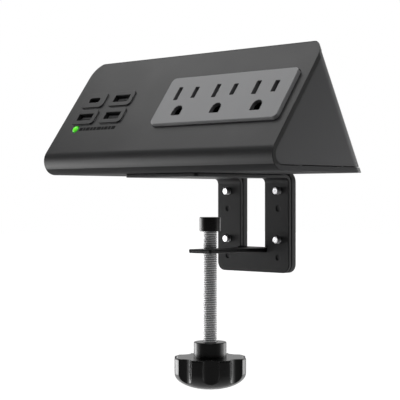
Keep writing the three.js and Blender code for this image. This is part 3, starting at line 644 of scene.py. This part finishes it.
def make_housing():
    cheek = HALF_LENGTH - CHEEK_INSET
    section = wedge(SEAT, SEAT, 0, NOSE_RADIUS - SEAT, HOUSING_CREST_RADIUS)
    housing = prism(section, -cheek, cheek, SECTION)
    combine(housing, [inside_rear_edges(cheek, REAR_EDGE_RADIUS - CHEEK_INSET, 0)], "INTERSECT")
    inner_half = cheek - HOUSING_WALL
    open_front = -20
    inner = prism(wedge(open_front, open_front, HOUSING_WALL, 0, 0), -inner_half, inner_half, SECTION)
    radius = REAR_EDGE_RADIUS - CHEEK_INSET - HOUSING_WALL
    combine(inner, [inside_rear_edges(inner_half, radius, HOUSING_WALL)], "INTERSECT")
    through_wall = HOUSING_WALL + OVERCUT
    gland_hole = rod(GLAND["hole"], -through_wall, OVERCUT, BACK_WALL @ shift(0, GLAND["up"], 0))
    combine(housing, [inner, gland_hole])
    finish(
        housing, "housing", "root", housing_plastic, ["rear_housing"], bevel=0.3, segments=3
    )


# ---- Outlets and ports ----


def slot_cuts(x):
    """Cutters for one outlet's two blade slots and its ground hole."""
    cuts = []
    for side, height in ((-1, NEUTRAL_HEIGHT), (1, LINE_HEIGHT)):
        slot = rectangle(SLOT_WIDTH, height, SLOT_RADIUS, x + side * BLADE_HALF, SLOT_U, 3)
        cuts.append(prism(slot, *SLOT_CUT, SLOPE))
    low = GROUND_U - GROUND_RADIUS
    ground = [(x - GROUND_RADIUS, low), (x + GROUND_RADIUS, low)]
    ground += arc(x, GROUND_U, GROUND_RADIUS, GROUND_RADIUS, [math.pi * k / 16 for k in range(17)])
    cuts.append(prism(ground, *SLOT_CUT, SLOPE))
    return cuts


def make_panel():
    x, u, proud = PANEL["x"], PANEL["u"], PANEL["proud"]

    def plate(grow, low, high):
        """The panel's outline grown on every side, between two depths."""
        width, height = PANEL["width"] + 2 * grow, PANEL["height"] + 2 * grow
        return prism(rectangle(width, height, PANEL["radius"] + grow, x, u, 12), low, high, SLOPE)

    panel = plate(0, PANEL["back"], proud)
    combine(panel, [plate(PANEL["rim"], PANEL["back"], PANEL["rim_top"])], "UNION")
    cuts = [plate(-PANEL["side"], PANEL["back"] - OVERCUT, proud - PANEL["skin"])]
    for k in (-1, 0, 1):
        cuts += slot_cuts(x + k * OUTLET_PITCH)
    combine(panel, cuts)
    finish(panel, "panel", "root", panel_plastic, ["outlet_panel"], bevel=0.32, segments=3)
    # Painted shade: the slot and hole walls, and the faces inside the panel, get a darker grey.
    panel.data.materials.append(hole_painted_shade)
    into_slope = SLOPE.inverted() @ Matrix.Scale(1 / MM, 4)
    for face in panel.data.polygons:
        spot = into_slope @ face.center
        across = abs(spot.x - x) < PANEL["width"] / 2 - 1
        along = abs(spot.y - u) < PANEL["height"] / 2 - 1
        if across and along and spot.z < proud - 0.02:
            face.material_index = 1


def make_port(index, port):
    """A port's formed metal shell with its contact tongue and contacts."""
    x, u, socket = port["x"], port["u"], port["socket"]
    shell = prism(port_outline(port, PORT_METAL), PORT_BACK, PORT_FRONT, SLOPE)
    combine(shell, [prism(port_outline(port), PORT_BACK - OVERCUT, PORT_FRONT + OVERCUT, SLOPE)])
    finish(shell, f"port_shell_{index}", "root", port_metal, [port["shell"]], bevel=0.1)
    left, low = x - socket["tongue_width"] / 2, u + socket["tongue_lift"] - socket["tongue_height"] / 2
    right, high = x + socket["tongue_width"] / 2, u + socket["tongue_lift"] + socket["tongue_height"] / 2
    tongue = prism(port_outline(port, -GAP), PORT_BACK, TONGUE_BASE_TOP, SLOPE)
    combine(tongue, [box((left, low, TONGUE_ROOT), (right, high, TONGUE_TIP), SLOPE)], "UNION")
    name = f"port_tongue_{index}"
    finish(tongue, name, "root", tongue_plastic, [port["tongue"]], bevel=0.12)
    pitch = socket["tongue_width"] / socket["contacts"]
    bottom, top = low - CONTACT_THICKNESS / 2, low + CONTACT_THICKNESS / 2
    for k in range(socket["contacts"]):
        start = left + pitch * (k + 0.25)
        strip = box((start, bottom, CONTACT_ENDS[0]), (start + pitch / 2, top, CONTACT_ENDS[1]), SLOPE)
        finish(strip, f"port_contact_{index}_{k}", "root", brass, bevel=0.03)


def make_led():
    radius, shoulder = LED["radius"], LED["shoulder"]
    dome = [(0, LED["foot"]), (radius, LED["foot"]), (radius, shoulder)]
    dome += arc(0, shoulder, radius, LED["rise"], (0.35, 0.7, 1.05, 1.35))
    dome.append((0, LED["top"]))
    lens = lathe(dome, SLOPE @ shift(LED["x"], LED["u"], 0), steps=40)
    finish(lens, "led_lens", "root", led_lens, ["led"])


def make_mark():
    """A generic printed mark beside the lamp: a broken bar, with no lettering."""
    unit = (MARK["end"] - MARK["start"]) / (sum(MARK_DASHES) + MARK_SPACE * len(MARK_DASHES))
    low = LED["u"] - MARK["drop"] - MARK["height"] / 2
    x = MARK["start"]
    for k, dash in enumerate(MARK_DASHES):
        bar = box((x, low, MARK["back"]), (x + dash * unit, low + MARK["height"], MARK["proud"]), SLOPE)
        finish(bar, f"mark_{k}", "root", mark_ink, bevel=0.02)
        x += (dash + MARK_SPACE) * unit


# ---- Bracket ----


def hole_cut(x, z, front, back):
    return rod(HOLE_RADIUS, -back - OVERCUT, -front + OVERCUT, UPRIGHT @ shift(x, z, 0))


def punch_cut(x, z):
    """A cutter for the shallow mark under a bracket screw, on the front of the leg."""
    low = -LEG_FRONT - PUNCH["depth"]
    return rod(PUNCH["radius"], low, -LEG_FRONT + OVERCUT, UPRIGHT @ shift(x, z - PUNCH["drop"], 0))


def plate_outline(low, high, bottom_corner, top_corner, steps):
    """A rectangle as wide as the bracket, rounded at its lower and upper corners."""
    corners = [(-PLATE_HALF, low), (PLATE_HALF, low), (PLATE_HALF, high), (-PLATE_HALF, high)]
    return rounded(corners, [bottom_corner, bottom_corner, top_corner, top_corner], steps)


def make_upper_bracket():
    section = [
        (FLANGE_FRONT, 0), (LEG_FRONT, 0), (LEG_FRONT, LEG_BOTTOM),
        (LEG_BACK, LEG_BOTTOM), (LEG_BACK, SHEET), (FLANGE_FRONT, SHEET),
    ]
    bends = [0, BEND_RADIUS, 0, 0, BEND_RADIUS + SHEET, 0]
    bracket = prism(rounded(section, bends, 12), -PLATE_HALF, PLATE_HALF, SECTION)
    above = SHEET + OVERCUT
    leg = plate_outline(LEG_BOTTOM, above, PLATE_CORNER, 0, 10)
    flange = plate_outline(FLANGE_FRONT, LEG_BACK + OVERCUT, FLANGE_CORNER, 0, 6)
    trims = [
        prism(leg, -LEG_BACK - OVERCUT, -FLANGE_FRONT + OVERCUT, UPRIGHT),
        prism(flange, LEG_BOTTOM - OVERCUT, above),
    ]
    combine(bracket, trims, "INTERSECT")
    back = LEG_BACK + OVERCUT
    foot_half = WINDOW_HALF + WINDOW_FOOT_EXTRA
    foot_front = LEG_FRONT - OVERCUT
    cuts = [
        box((-WINDOW_HALF, WINDOW_INTO_FLANGE, WINDOW_BOTTOM), (WINDOW_HALF, back, above)),
        box((-foot_half, foot_front, WINDOW_BOTTOM), (foot_half, back, WINDOW_FOOT_TOP)),
    ]
    cuts += [hole_cut(x, z, LEG_FRONT, LEG_BACK) for x, z in HOLES]
    cuts += [punch_cut(x, z) for x, z in HOLES]
    cuts += [countersunk_cut(x, y, 0) for x, y in FLANGE_SCREWS]
    combine(bracket, cuts)
    finish(bracket, "upper_plate", "root", bracket_paint, ["upper_bracket"], bevel=0.4)


def make_lower_bracket():
    outline = plate_outline(LEG_BOTTOM, LOWER_TOP, PLATE_CORNER, LOWER_TOP_CORNER, 12)
    plate = prism(outline, LOWER_FRONT - LOWER_BACK, 0, shift(0, LOWER_FRONT, 0) @ UPRIGHT)
    far_corner = (WINDOW_HALF, LOWER_BACK + OVERCUT, LOWER_TOP + OVERCUT)
    combine(plate, [box((-WINDOW_HALF, LEG_FRONT, TONGUE["top"] - TONGUE["overlap"]), far_corner)])
    low, high = TONGUE["top"] - TONGUE["thickness"], TONGUE["top"]
    half, tip, root, corner = TONGUE["half"], TONGUE["tip"], LOWER_BACK - TONGUE["set_in"], TONGUE["corner"]
    blade = rounded([(-half, tip), (half, tip), (half, root), (-half, root)], [corner, corner, 0, 0])
    combine(plate, [prism(blade, low, high)], "UNION")
    holes = [hole_cut(x, z, LOWER_FRONT, LOWER_BACK) for x, z in HOLES]
    combine(plate, [rod(TONGUE["hole"], low - OVERCUT, high + OVERCUT)] + holes)
    finish(plate, "rear_plate", "root", bracket_paint, ["lower_bracket"], bevel=0.5)


# ---- Screws ----

# Where a thread's root and its crest begin and end, as parts of the pitch.
THREAD_ROOT = (0.0, 0.24)
THREAD_CREST = (0.56, 0.70)


def threaded_rod(low, high, radius, pitch, depth, matrix=LEVEL, steps=32, chamfer=0.6):
    """A rod with a real right-hand helical thread, chamfered at both ends."""
    profile = [(part, radius - depth) for part in THREAD_ROOT]
    profile += [(part, radius) for part in THREAD_CREST]
    first, last = math.floor(low / pitch) - 1, math.ceil(high / pitch) + 1
    bm = bmesh.new()
    rows = []
    for turn in range(first, last):
        for offset, r in profile:
            row = []
            for k in range(steps):
                t = TAU * k / steps
                height = (turn + offset + k / steps) * pitch
                row.append(bm.verts.new((r * math.cos(t), r * math.sin(t), height)))
            rows.append(row)
    count = len(profile)
    for i in range(len(rows) - 1):
        for k in range(steps - 1):
            bm.faces.new((rows[i][k], rows[i][k + 1], rows[i + 1][k + 1], rows[i + 1][k]))
        if i + 1 + count < len(rows):
            bm.faces.new((rows[i][-1], rows[i + count][0], rows[i + 1 + count][0], rows[i + 1][-1]))
    bottom_loop = rows[0] + [rows[k][0] for k in range(count, 0, -1)]
    top_loop = rows[-1][::-1] + [rows[len(rows) - 1 - count + k][-1] for k in range(count)]
    for loop, z in ((bottom_loop, (first - 0.2) * pitch), (top_loop, (last + 1.2) * pitch)):
        pole = bm.verts.new((0, 0, z))
        for k in range(len(loop)):
            bm.faces.new((loop[k], loop[(k + 1) % len(loop)], pole))
    helix = new_object("helix", bm)
    outside = radius + 0.01
    ends = [(0, low), (radius - chamfer, low), (outside, low + chamfer)]
    ends += [(outside, high - chamfer), (radius - chamfer, high), (0, high)]
    combine(helix, [lathe(ends, steps=steps * 2)], "INTERSECT")
    helix.data.transform(matrix)
    return helix


def make_bracket_screw(index, x, z):
    """A button-head screw from behind the plates, with its thread's end in front of the leg."""
    screw = BRACKET_SCREW
    head = LOWER_BACK + GAP
    length = head - (LEG_FRONT - screw["proud"])
    place = shift(x, head, z) @ Matrix.Rotation(-QUARTER, 4, "X")
    shank = threaded_rod(
        -length, 0.2, screw["radius"], screw["pitch"], screw["thread"], place, steps=24, chamfer=0.2
    )
    radius, edge = screw["head_radius"], screw["head_edge"]
    button = [(0, 0), (radius, 0), (radius, edge)]
    button += arc(0, edge, radius, screw["head_rise"], (0.3, 0.6, 0.9, 1.15))
    button += [(0, screw["head_top"])]
    cap = lathe(button, place, steps=40)
    above = screw["head_top"] + OVERCUT
    combine(cap, [prism(circle(screw["socket_radius"], 6), screw["socket_floor"], above, place)])
    combine(shank, [cap], "UNION")
    name = f"plate_screw_{index}"
    finish(shank, name, "root", screw_steel, [f"bracket_screw_{index}"], angle=35)
    # Painted shade: the screw's end in front of the leg is darker everywhere but on its flat end.
    shank.data.materials.append(screw_thread_painted_shade)
    for face in shank.data.polygons:
        if face.normal.y > -0.9 and face.center.y < LEG_FRONT * MM:
            face.material_index = 1


def make_flat_screw(name, x, y, z, length, replaces):
    """A countersunk screw seen from below, sunk a little into its hole, with a cross recess."""
    radius, shank, edge = FLAT_SCREW["head"], FLAT_SCREW["shank"], FLAT_SCREW["edge"]
    low, neck, top = z + FLAT_SCREW["sunk"], z + FLAT_SCREW["head_height"], z + length
    profile = [(0, low), (radius - edge, low), (radius, low + edge), (shank, neck), (shank, top), (0, top)]
    screw = lathe(profile, shift(x, y, 0), steps=40)
    reach, width, depth = CROSS["half_length"], CROSS["half_width"], CROSS["depth"]
    arms = []
    for turn in (CROSS["turn"], CROSS["turn"] + QUARTER):
        place = shift(x, y, 0) @ Matrix.Rotation(turn, 4, "Z")
        arms.append(box((-reach, -width, z - depth), (reach, width, z + depth), place))
    combine(screw, arms)
    finish(screw, name, "root", screw_steel, [replaces], bevel=0.08)


# ---- Clamp ----


def make_pad():
    low, high, radius = pad_low.z, pad_high.z, pad_high.x
    bore_top = low + PAD_BORE_DEPTH
    lower, upper = PAD_LOWER_EDGE, PAD_UPPER_EDGE
    profile = [(0, bore_top), (SCREW_BORE_RADIUS, bore_top), (SCREW_BORE_RADIUS, low), (radius - lower, low)]
    profile += arc(radius - lower, low + lower, lower, lower, [t - QUARTER for t in (0.5, 1.0, 1.57)])
    profile += arc(radius - upper, high - upper, upper, upper, (0, 0.5, 1.0, 1.57))
    profile.append((0, high))
    pad = lathe(profile, steps=64)
    finish(pad, "pad", "pad", knob_plastic, ["screw_pad"], angle=40)


def make_clamp_screw():
    screw = threaded_rod(rod_low.z, rod_high.z, rod_high.x, THREAD_PITCH, THREAD_DEPTH)
    finish(screw, "threaded_rod", "knob", rod_zinc, ["clamp_screw"], angle=35)


def make_knob():
    """The lobed hand knob: a domed body with scalloped flutes, under a plain collar."""
    low, top, radius = knob_low.z, KNOB_TOP, KNOB_RADIUS
    rise = DOME_START - low
    profile = [(0, low)]
    for k in range(1, 13):
        t = QUARTER * k / 12
        profile.append((radius * math.sin(t) ** DOME_POWER, DOME_START - rise * math.cos(t)))
    profile += arc(radius - KNOB_EDGE, top - KNOB_EDGE, KNOB_EDGE, KNOB_EDGE, (0, 0.4, 0.8, 1.2, 1.57))
    profile.append((0, top))
    knob = lathe(profile, steps=160)
    reach = radius - FLUTE_DEPTH + FLUTE_RADIUS
    flutes = []
    for k in range(LOBES):
        turn = Matrix.Rotation(TAU * k / LOBES, 4, "Z")
        place = turn @ shift(reach, 0, 0)
        flutes.append(rod(FLUTE_RADIUS, low - OVERCUT, top + OVERCUT, place, steps=96))
    combine(knob, flutes)
    tidy(knob)
    soften(knob, FLUTE_BEVEL, 24, 3)
    high, inset = knob_high.z, COLLAR_RADIUS - COLLAR_EDGE
    root = top - COLLAR_OVERLAP
    collar = [(0, root), (COLLAR_RADIUS, root), (COLLAR_RADIUS, high - COLLAR_EDGE)]
    collar += arc(inset, high - COLLAR_EDGE, COLLAR_EDGE, COLLAR_EDGE, (0.5, 1.0, 1.57))
    collar.append((0, high))
    combine(knob, [lathe(collar, steps=96)], "UNION")
    combine(knob, [rod(SCREW_BORE_RADIUS, rod_low.z - GAP, high + OVERCUT, steps=48)])
    finish(knob, "hand_knob", "knob", knob_plastic, ["knob"], angle=38)


# ---- Cord gland ----


def make_gland():
    place = BACK_WALL @ shift(0, GLAND["up"], 0)
    neck, radius, edge = GLAND["neck"], GLAND["flange_radius"], GLAND["flange_edge"]
    lip, lip_edge, lip_height = GLAND["lip_radius"], GLAND["lip_edge"], GLAND["lip_height"]
    outline = [(0, GLAND["back"]), (neck, GLAND["back"]), (neck, GAP), (radius, GAP), (radius, edge)]
    outline += arc(radius - 1, edge + 0.2, 1, 1, (0.2, 0.6, 1.0, 1.4))
    top = lip_height + lip_edge
    outline.append((lip, top))
    outline += arc(lip, lip_height, lip_edge, lip_edge, [t + QUARTER for t in (0.4, 0.8, 1.2, 1.57)])
    outline.append((0, lip_height))
    gland = lathe(outline, place, steps=56)
    combine(gland, [rod(GLAND["bore"], GLAND["back"] - OVERCUT, top + OVERCUT, place, steps=56)])
    finish(gland, "cord_grommet", "root", inner_plastic, ["cord_gland"], angle=40)


# ---- Studio, in metres ----

CAMERA = {"place": (0.48574, -0.50696, -0.01145), "azimuth": 44.235, "drop": 0.063, "lens": 113.89}
FLOOR_HALF = 12.0
FLOOR_DROP = 0.33
FLOOR_GLOW = 0.85
FLOOR_DIM_GLOW = 0.08
FLOOR_GLOW_RANGE = (0.3, 0.8)
FLOOR_DIM_RANGE = (-0.5, 0.3)
# The studio is dim in this direction, in front and a little to the right, so that gloss has something
# dark to show.
DIM_SIDE = (math.cos(math.radians(-62)), math.sin(math.radians(-62)), 0.0)
DIM_STOPS = ((-1.0, 0.75), (-0.3, 0.42), (0.0, 0.16), (0.3, 0.06), (0.7, 0.02), (1.0, 0.01))
# Name, place, target, size, power in watts, spread in degrees.
LIGHTS = (
    ("key", (-0.38, -0.06, 0.58), (-0.02, 0, 0.05), (0.34, 0.44), 0.8, 180),
    ("front_top", (0.36, -0.38, 0.75), (0, 0, 0.03), (0.40, 0.40), 1.2, 100),
    ("left_strip", (-0.90, -0.16, -0.12), (0, 0, -0.09), (0.45, 0.45), 3.9, 180),
    ("right_strip", (0.20, 0.90, -0.12), (0, 0, -0.09), (0.45, 0.45), 2.0, 180),
    ("left_low", (-0.515, -0.347, -0.165), (0, 0, -0.12), (0.40, 0.17), 0.30, 180),
    ("right_low", (0.364, 0.502, -0.165), (0, 0, -0.12), (0.40, 0.17), 0.27, 180),
    ("screw_glint", (-0.43, -0.41, -0.03), (0, 0.03, -0.02), (0.06, 0.12), 0.10, 180),
    ("nose_band", (-0.42, -0.30, -0.25), (0, -0.04, 0.01), (0.30, 0.10), 0.14, 180),
)


def make_camera():
    data = bpy.data.cameras.new("camera")
    data.sensor_width = 36.0
    data.lens = CAMERA["lens"]
    data.clip_start = 0.01
    data.clip_end = 50.0
    camera = bpy.data.objects.new("camera", data)
    camera.location = CAMERA["place"]
    camera.rotation_euler = (math.radians(90 - CAMERA["drop"]), 0, math.radians(CAMERA["azimuth"]))
    bpy.context.scene.collection.objects.link(camera)
    bpy.context.scene.camera = camera


def towards_dim_side(tree, output):
    """How far a point or direction lies towards the dim side."""
    place = tree.nodes.new("ShaderNodeTexCoord")
    side = tree.nodes.new("ShaderNodeVectorMath")
    side.operation = "DOT_PRODUCT"
    side.inputs[1].default_value = DIM_SIDE
    link(tree, place.outputs[output], side.inputs[0])
    return side.outputs["Value"]


def make_floor():
    """A white floor that glows from a little way out, less so on the dim side."""
    bm = bmesh.new()
    bmesh.ops.create_grid(bm, x_segments=8, y_segments=8, size=FLOOR_HALF)
    floor = new_object("floor", bm)
    floor.location.z = cad_low.z - FLOOR_DROP
    white = surface("floor_white", (0.8, 0.8, 0.8), 0.8, bump=0.0, spread=0.02, tone=0.01)
    tree = white.node_tree
    shader = shader_of(white)
    shader.inputs["Emission Color"].default_value = (1, 1, 1, 1)
    near, far = FLOOR_GLOW_RANGE
    reach = by_distance(tree, (1, 1, 0), near / MM, far / MM)
    level = tree.nodes.new("ShaderNodeMapRange")
    level.interpolation_type = "SMOOTHSTEP"
    level.inputs["From Min"].default_value = FLOOR_DIM_RANGE[0]
    level.inputs["From Max"].default_value = FLOOR_DIM_RANGE[1]
    level.inputs["To Min"].default_value = FLOOR_GLOW
    level.inputs["To Max"].default_value = FLOOR_DIM_GLOW
    link(tree, towards_dim_side(tree, "Object"), level.inputs["Value"])
    strength = tree.nodes.new("ShaderNodeMath")
    strength.operation = "MULTIPLY"
    link(tree, reach, strength.inputs[0])
    link(tree, level.outputs["Result"], strength.inputs[1])
    link(tree, strength.outputs["Value"], shader.inputs["Emission Strength"])
    floor.data.materials.append(white)


def make_light(name, place, target, size, power, spread):
    """A soft panel of light that the camera doesn't see."""
    data = bpy.data.lights.new(name, "AREA")
    data.shape = "RECTANGLE"
    data.size, data.size_y = size
    data.energy = power
    data.spread = math.radians(spread)
    light = bpy.data.objects.new(name, data)
    light.location = place
    light.rotation_euler = (Vector(target) - Vector(place)).to_track_quat("-Z", "Y").to_euler()
    light.visible_camera = False
    bpy.context.scene.collection.objects.link(light)


def make_world():
    """A studio that is white to the camera, and lights the object less from the dim side."""
    world = bpy.data.worlds.new("studio")
    bpy.context.scene.world = world
    world.use_nodes = True
    tree = world.node_tree
    background = tree.nodes["Background"]
    spread = tree.nodes.new("ShaderNodeMapRange")
    spread.inputs["From Min"].default_value = -1.0
    spread.inputs["From Max"].default_value = 1.0
    link(tree, towards_dim_side(tree, "Generated"), spread.inputs["Value"])
    level = tree.nodes.new("ShaderNodeValToRGB")
    level.color_ramp.interpolation = "EASE"
    stops = level.color_ramp.elements
    for side, value in DIM_STOPS:
        ends = {-1.0: stops[0], 1.0: stops[-1]}
        stop = ends.get(side) or stops.new(0.5 + 0.5 * side)
        stop.color = (value, value, value, 1)
    link(tree, spread.outputs["Result"], level.inputs["Fac"])
    link(tree, level.outputs["Color"], background.inputs["Color"])
    background.inputs["Strength"].default_value = 1.0
    backdrop = tree.nodes.new("ShaderNodeBackground")
    backdrop.inputs["Color"].default_value = (1, 1, 1, 1)
    path = tree.nodes.new("ShaderNodeLightPath")
    mix = tree.nodes.new("ShaderNodeMixShader")
    link(tree, path.outputs["Is Camera Ray"], mix.inputs["Fac"])
    link(tree, background.outputs["Background"], mix.inputs[1])
    link(tree, backdrop.outputs["Background"], mix.inputs[2])
    link(tree, mix.outputs["Shader"], tree.nodes["World Output"].inputs["Surface"])


# ---- Scene ----

make_camera()
make_shell()
make_housing()
make_panel()
for index, port in enumerate(PORTS, 1):
    make_port(index, port)
make_led()
make_mark()
make_upper_bracket()
make_lower_bracket()
for index, (x, z) in enumerate(HOLES, 1):
    make_bracket_screw(index, x, z)
for index, (housing_spot, flange_spot) in enumerate(zip(HOUSING_SCREWS, FLANGE_SCREWS), 1):
    name = f"case_screw_{index}"
    make_flat_screw(name, *housing_spot, BOTTOM, HOUSING_SCREW_LENGTH, f"housing_screw_{index}")
    name = f"base_screw_{index}"
    make_flat_screw(name, *flange_spot, 0, FLANGE_SCREW_LENGTH, f"flange_screw_{index}")
make_pad()
make_clamp_screw()
make_knob()
make_gland()

slots = {part["node"]: part["material_slot"] for part in frame["record"]["subparts"]}
for name, node in frame["nodes"].items():
    node.data.materials.clear()
    node.data.materials.append(SLOT_MATERIALS[slots[name]])

make_floor()
make_world()
for light in LIGHTS:
    make_light(*light)
bpy.context.scene.view_settings.view_transform = "Standard"
